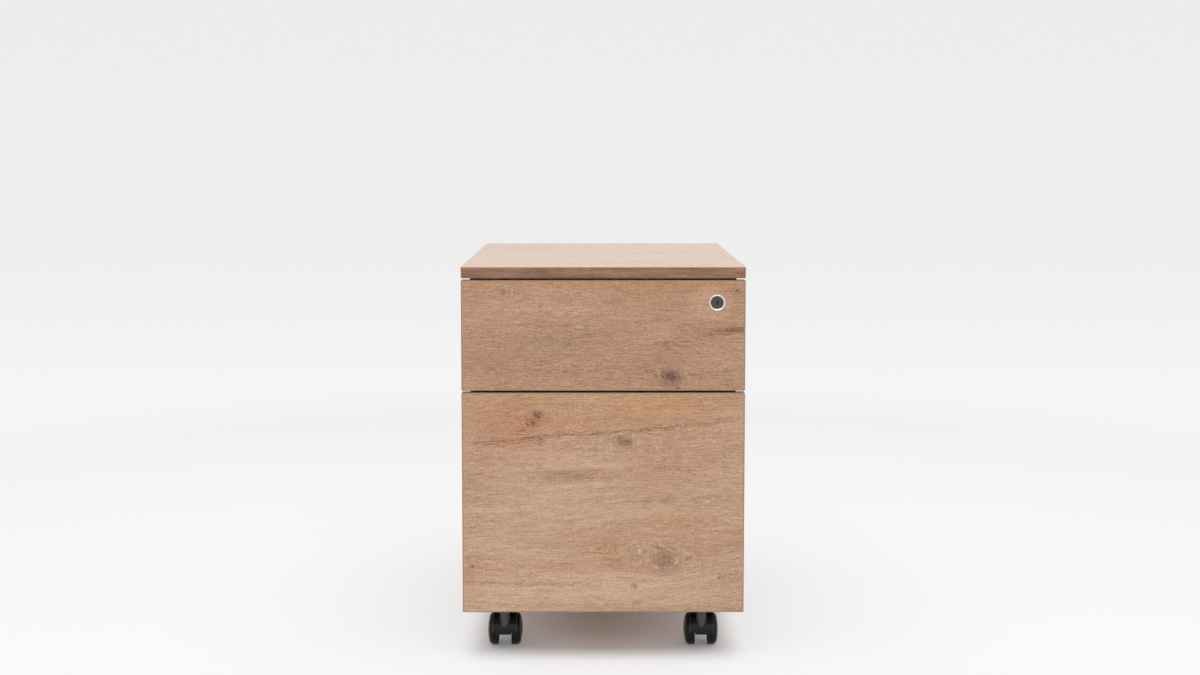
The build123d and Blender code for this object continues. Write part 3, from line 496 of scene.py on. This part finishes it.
# edge bands: the same print, pulled along each strip
band = {
    "stops": [(0.15, shade(104, 72, 48)), (0.5, shade(138, 101, 73)), (0.85, shade(168, 130, 102))],
    "pale": shade(166, 134, 110),  # strips round the fronts and the carcass
    "rim": shade(226, 190, 160),  # painted highlight along the upper edge of the top
    "rimDepths": (1.9, 1.1), "rimTint": 0.8,  # mm below the top
    "slow": (60, 7), "fine": (14, 1.2),  # length and width of the grain, in mm
    "slowSeed": 5.0, "fineSeed": 7.0,
    "contrast": 0.9,
    "slant": 0.7,
    "roughness": 0.4, "fineRoughness": 0.1,
    "thickness": 2.0, "blend": 0.1,
}
# how pale each set of strips is
bandTones = {
    "top_edge_bands": 0.0,
    "top_front_edge_bands": 0.76,
    "file_front_edge_bands": 0.86,
    "carcass_edge_bands": 0.92,
}


def edgeBand(name, seed):
    strip = newMaterial("band " + name.replace("_", " "))
    x, y, z = strip.place()
    low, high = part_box(name)
    onTop = name == "top_edge_bands"
    # strips at the left and right ends run along z or y, the others along x
    limit = 1000 * high.x - band["thickness"]
    ends = abs(x).step(limit - band["blend"], limit + band["blend"])
    other, thin = (y, z) if onTop else (z, y)
    along = x * (1 - ends) + other * ends
    slant = band["slant"]
    across = (thin + other * slant) * (1 - ends) + (thin + x * slant) * ends
    slow = strip.drawn(along, across, seed * band["slowSeed"], band["slow"])
    fine = strip.drawn(along, across, seed * band["fineSeed"], band["fine"], 2.0, 0.6)
    tone = 0.5 + (slow - 0.5) * band["contrast"] + (fine - 0.5) * band["contrast"]
    colour = strip.mix(bandTones[name], strip.ramp(tone, band["stops"]), band["pale"])
    # painted highlight: a pale line along the top's upper edge, standing in for light caught by its
    # rounded edge
    if onTop:
        wearGritAndHighlight = z.step(*[1000 * high.z - depth for depth in band["rimDepths"]])
        colour = strip.mix(wearGritAndHighlight * band["rimTint"], colour, band["rim"])
    strip.set("Base Color", colour)
    strip.set("Roughness", band["roughness"] + (fine - 0.5) * band["fineRoughness"])
    strip.bump(fine, oak["pore"], 0.5)
    dress(strip, name)


for seed, name in enumerate(boards, 1):
    oakBoard(name, seed)
for seed, name in enumerate(bandTones, 1):
    edgeBand(name, seed)
print("boards and edge bands dressed")


# silver paint of the drawers, with orange peel; noises are given in grains to a millimetre
powder = {
    "colour": shade(186, 188, 190), "cloudShade": 0.94,
    "peel": 1 / 1.6, "clouds": 0.012,
    "roughness": 0.4, "peelRoughness": 0.16, "peelHeight": 0.00012,
}


def powderCoat():
    coat = newMaterial("silver powder coat", Metallic=0.0, Specular_IOR_Level=0.5)
    place = coat.place()
    peel = coat.noise(place, powder["peel"])
    clouds = coat.noise(place, powder["clouds"])
    pale = powder["colour"]
    coat.set("Base Color", coat.mix(clouds, scaled(pale, powder["cloudShade"]), pale))
    coat.set("Roughness", powder["roughness"] + (peel - 0.5) * powder["peelRoughness"])
    coat.bump(peel, powder["peelHeight"], 0.6)
    return coat


# plated steel: drawing lines along y, and a faint smear
plating = {
    "lines": (1.4, 0.03, 1.4), "smear": 0.05, "smearShade": 0.84,
    "lineRoughness": 0.16, "smearRoughness": 0.12, "lineHeight": 0.00003,
}


def zincPlate(name, colour, roughness):
    zinc = newMaterial(name, Metallic=1.0)
    place = zinc.place()
    lines = zinc.noise(place, plating["lines"], 3.0, 0.6)
    smear = zinc.noise(place, plating["smear"], 3.0)
    zinc.set("Base Color", zinc.mix(smear, scaled(colour, plating["smearShade"]), colour))
    roughness = roughness + (lines - 0.5) * plating["lineRoughness"]
    zinc.set("Roughness", roughness + (smear - 0.5) * plating["smearRoughness"])
    zinc.bump(lines, plating["lineHeight"], 0.5)
    return zinc


lock = {
    "ring": (shade(216, 210, 198), shade(240, 236, 226)),
    "turning": 9,
    "ringRoughness": 0.24, "turningRoughness": 0.12,
    "core": (shade(58, 57, 54), shade(96, 95, 90)),
    "brush": (3, 1, 0.4),
    # painted shade: the keyway is painted near black
    "slot": shade(10, 10, 9),
    "slotDepths": (0.9, 1.6),  # mm behind the core's front, past its shallow ring
    "coreRoughness": 0.36, "brushRoughness": 0.2, "brushHeight": 0.00002,
}


def satinNickel():
    metal = newMaterial("satin nickel", Metallic=1.0)
    x, y, z = metal.place()
    a = x - middle("lock_housing", 0)
    b = z - middle("lock_housing", 2)
    turned = metal.noise([(a * a + b * b) ** 0.5 * lock["turning"], 0.0, 0.0], 1.0, 3.0, 0.6)
    metal.set("Base Color", metal.mix(turned, *lock["ring"]))
    metal.set("Roughness", lock["ringRoughness"] + (turned - 0.5) * lock["turningRoughness"])
    return metal


def darkNickel():
    metal = newMaterial("lock core nickel", Metallic=1.0)
    x, y, z = place = metal.place()
    brush = metal.noise(place, lock["brush"], 3.0, 0.6)
    low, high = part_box("lock_core")
    # painted shade: surfaces deeper than the keyway's mouth are painted near black
    inside = y.step(*[1000 * low.y + depth for depth in lock["slotDepths"]])
    metal.set("Base Color", metal.mix(inside, metal.mix(brush, *lock["core"]), lock["slot"]))
    metal.set("Roughness", lock["coreRoughness"] + (brush - 0.5) * lock["brushRoughness"])
    metal.bump(brush, lock["brushHeight"], 0.5)
    return metal


# moulded plastic: a fine skin, and paler scuffs
moulding = {
    "skin": 2.2, "skinRoughness": 0.06, "skinHeight": 0.00003,
    "scuffs": 0.16, "scuffTones": (0.45, 0.8), "scuffShade": 1.7, "scuffRoughness": 0.24,
}


def nylon(name, colour, roughness, texture=0.5):
    plastic = newMaterial(name, Specular_IOR_Level=0.22)
    place = plastic.place()
    skin = plastic.noise(place, moulding["skin"])
    scuffs = plastic.noise(place, moulding["scuffs"], 4.0, 0.65)
    wearGritAndHighlight = scuffs.step(*moulding["scuffTones"])
    plastic.colour = plastic.mix(wearGritAndHighlight, colour, scaled(colour, moulding["scuffShade"]))
    plastic.set("Base Color", plastic.colour)
    roughness = roughness + (scuffs - 0.5) * moulding["scuffRoughness"]
    plastic.set("Roughness", roughness + (skin - 0.5) * moulding["skinRoughness"])
    plastic.bump(skin, moulding["skinHeight"], texture)
    return plastic


hood = {
    "black": shade(15, 15, 16), "roughness": 0.36,
    "neck": shade(88, 88, 90), "neckTint": 0.8,  # painted highlight: the lit front of the neck
    "neckRadius": 8.1, "neckEdge": 0.4,
    "neckFoot": 33.0, "neckRise": 3,  # height above the floor, and over which it sets in
    "seam": shade(112, 110, 108), "seamTint": 0.7,  # painted highlight along the hood's edges beside the wheels
    "seamEdge": (0.9, 0.3),  # mm inside the hood's sides
    "glintBreakup": 0.35, "glintBreakupTones": (0.3, 0.6),
}


def casterHood(corner):
    plastic = nylon("hood nylon " + corner.replace("_", " "), hood["black"], hood["roughness"])
    node = "caster_hood_" + corner
    low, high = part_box(node)
    body = "caster_" + corner
    pivot = [joint["pos_m"] for joint in frame["joints"] if joint["child"] == body][0]
    x, y, z = place = plastic.place()
    a = x - 1000 * pivot[0]
    b = y - 1000 * pivot[1]
    radius, foot = hood["neckRadius"], hood["neckFoot"]
    # painted highlight on the front of the neck, where it catches the light
    neck = ((a * a + b * b) ** 0.5).step(radius + hood["neckEdge"], radius)
    neck = neck * z.step(foot, foot + hood["neckRise"])
    half = 500 * (high.x - low.x)
    # painted highlight: pale lines along the hood's sides, broken up by noise
    glintBreakup = plastic.noise(place, hood["glintBreakup"]).step(*hood["glintBreakupTones"])
    seam = abs(a).step(*[half - edge for edge in hood["seamEdge"]]) * glintBreakup
    colour = plastic.mix(neck * hood["neckTint"], plastic.colour, hood["neck"])
    plastic.set("Base Color", plastic.mix(seam * hood["seamTint"], colour, hood["seam"]))
    dress(plastic, node)


peg = {
    "fibre": (1 / 14, 1.6, 1.6), "colours": (shade(206, 170, 124), shade(232, 204, 164)),
    "roughness": 0.62, "fibreRoughness": 0.1, "fibreHeight": 0.00004,
}


def beech():
    wood = newMaterial("beech")
    fibre = wood.noise(wood.place(), peg["fibre"], 3.0, 0.6)
    wood.set("Base Color", wood.mix(fibre, *peg["colours"]))
    wood.set("Roughness", peg["roughness"] + (fibre - 0.5) * peg["fibreRoughness"])
    wood.bump(fibre, peg["fibreHeight"], 0.5)
    return wood


dress(powderCoat(), *namesWith("drawer_sides", "drawer_base", "drawer_inner_front", "drawer_back"))
dress(zincPlate("bright zinc", (0.66, 0.67, 0.69), 0.34),
      *namesWith("members", "cages"), "locking_bar", "locking_pins")
dress(zincPlate("screw zinc", (0.58, 0.59, 0.61), 0.3), *namesWith("screws"))
dress(zincPlate("caster steel", (0.56, 0.57, 0.58), 0.36),
      "caster_plates", "caster_stems", *namesWith("caster_axle_"))
dress(zincPlate("die-cast zinc", (0.56, 0.56, 0.57), 0.5), "cam_connectors")
dress(satinNickel(), "lock_housing")
dress(darkNickel(), "lock_core")
dress(nylon("guide nylon", shade(60, 61, 63), 0.5),
      "locking_bar_guides", "top_lock_catch", "file_lock_catch")
dress(nylon("tray polystyrene", shade(46, 47, 49), 0.48, 1.0), "pencil_tray")
for corner in ["front_left", "front_right", "rear_left", "rear_right"]:
    casterHood(corner)
dress(nylon("wheel nylon", shade(14, 14, 15), 0.3), *namesWith("wheel_"))
dress(beech(), "dowels")
print("metals and plastics dressed")


# pale studio: floor that curves up into a backdrop, soft light from above and in front
studio = {
    "near": -9.0, "far": 5.0, "halfWidth": 9.0, "curve": 2.2, "wall": 6.0, "bends": 24,
    "paper": (0.93, 0.93, 0.93), "tooth": 4.0, "toothShade": 0.99,
    # the evenly lit sheet: its colours from the floor up the wall, and how it passes through
    # them along y and along z, from where on
    "glow": [
        (0.0, (0.939, 0.939, 0.947)), (0.22, (0.905, 0.905, 0.905)),
        (0.62, (0.85, 0.85, 0.852)), (1.0, (0.838, 0.838, 0.843)),
    ],
    "back": 0.1, "up": 0.15, "start": 0.08,
    "reach": (1.0, 2.8),  # distance from the cabinet from which all of it is even, in metres
    "evenness": 0.6,  # share of the even sheet just outside the cabinet: painted light that lifts the cabinet's shadow there
    "footprint": (0.212, 0.32), "rim": (-0.025, 0.015),
    "underGlowShare": 0.14, "underGlowSpread": (-0.12, 0.24),  # painted light under the cabinet, more towards its sides
    "sky": 0.58, "skySeen": 0.94,
}


# floor line, then a quarter circle of radius curve, then a straight wall, carried along x
def buildStage():
    turn = np.linspace(0, math.pi / 2, studio["bends"])
    wall = studio["far"] + studio["curve"]
    y = np.concatenate([[studio["near"]], studio["far"] + studio["curve"] * np.sin(turn), [wall]])
    z = np.concatenate([[0.0], studio["curve"] * (1 - np.cos(turn)), [studio["wall"]]])
    x = np.array([-1.0, 1.0]) * studio["halfWidth"]
    across = np.repeat(x[None], len(y), 0)
    points = np.stack([across, np.repeat(y[:, None], 2, 1), np.repeat(z[:, None], 2, 1)], 2)
    rows = np.arange(len(y) - 1)
    faces = np.stack([2 * rows, 2 * rows + 1, 2 * rows + 3, 2 * rows + 2], 1)
    mesh = bpy.data.meshes.new("paper")
    mesh.from_pydata(points.reshape(-1, 3).tolist(), [], faces.tolist())
    mesh.polygons.foreach_set("use_smooth", [True] * len(faces))
    mesh.materials.append(paperRoll())
    sheet = bpy.data.objects.new("paper", mesh)
    bpy.context.scene.collection.objects.link(sheet)


# near the cabinet the paper takes light and shadow, with painted light from the even sheet laid
# over it by the cabinet's footprint to lift its shadow; further off it is an evenly lit sheet
def paperRoll():
    paper = newMaterial("paper", Roughness=0.9, Specular_IOR_Level=0.1)
    x, y, z = place = [part / 1000 for part in paper.place()]
    pale = studio["paper"]
    tooth = paper.noise(place, studio["tooth"])
    paper.set("Base Color", paper.mix(tooth, scaled(pale, studio["toothShade"]), pale))
    reach = (x * x + y * y + z * z) ** 0.5
    # painted light: the glowing sheet lifts the cabinet's shadow just outside its footprint, and a
    # little under it
    pastSide = abs(x) - studio["footprint"][0]
    outside = pastSide.maths("MAXIMUM", pastSide, abs(y) - studio["footprint"][1])
    inside = abs(x).step(*studio["underGlowSpread"]) * studio["underGlowShare"]
    even = inside + outside.step(*studio["rim"]) * (studio["evenness"] - inside)
    even = even.maths("MAXIMUM", even, reach.step(*studio["reach"]))
    sheet = paper.ramp(y * studio["back"] + z * studio["up"] - studio["start"], studio["glow"])
    glow = paper.node("ShaderNodeEmission", None, {"Color": sheet, "Strength": 1.0})
    lit = Value(paper, paper.surface.outputs[0])
    both = paper.node("ShaderNodeMixShader", None, {0: even, 1: lit, 2: glow})
    paper.feed(paper.tree.nodes["Material Output"].inputs["Surface"], both)
    return paper.owner


lamps = [
    # name, place, aimed at, width, height, watts
    ("overhead", (0.0, -0.7, 3.4), (0.0, -0.3, 0.0), 3.8, 3.4, 71.0),
    ("front", (0.5, -4.6, 2.2), (0.0, 0.0, 0.4), 3.4, 2.2, 28.0),
]


def hangLamps():
    for name, place, target, width, height, watts in lamps:
        light = bpy.data.lights.new(name, "AREA")
        light.shape = "RECTANGLE"
        light.size, light.size_y = width, height
        light.energy = watts
        lamp = bpy.data.objects.new(name, light)
        lamp.location = place
        x, y, z = np.array(target) - np.array(place)
        pitch = math.atan2(math.hypot(x, y), -z)
        lamp.rotation_euler = (pitch, 0, math.atan2(y, x) - math.pi / 2)
        bpy.context.scene.collection.objects.link(lamp)


# the sky lights at its own strength, and is seen and mirrored as a pale backdrop
def lightSky():
    sky = Shader(bpy.data.worlds.new("sky"), "Background")
    seen = sky.node("ShaderNodeLightPath", output="Is Camera Ray")
    mirrored = sky.node("ShaderNodeLightPath", output="Is Glossy Ray")
    shown = seen.maths("MAXIMUM", seen, mirrored)
    sky.set("Color", (1.0, 1.0, 1.0))
    sky.set("Strength", studio["sky"] + (studio["skySeen"] - studio["sky"]) * shown)
    bpy.context.scene.world = sky.owner


buildStage()
hangLamps()
lightSky()
print("stage and lights set")
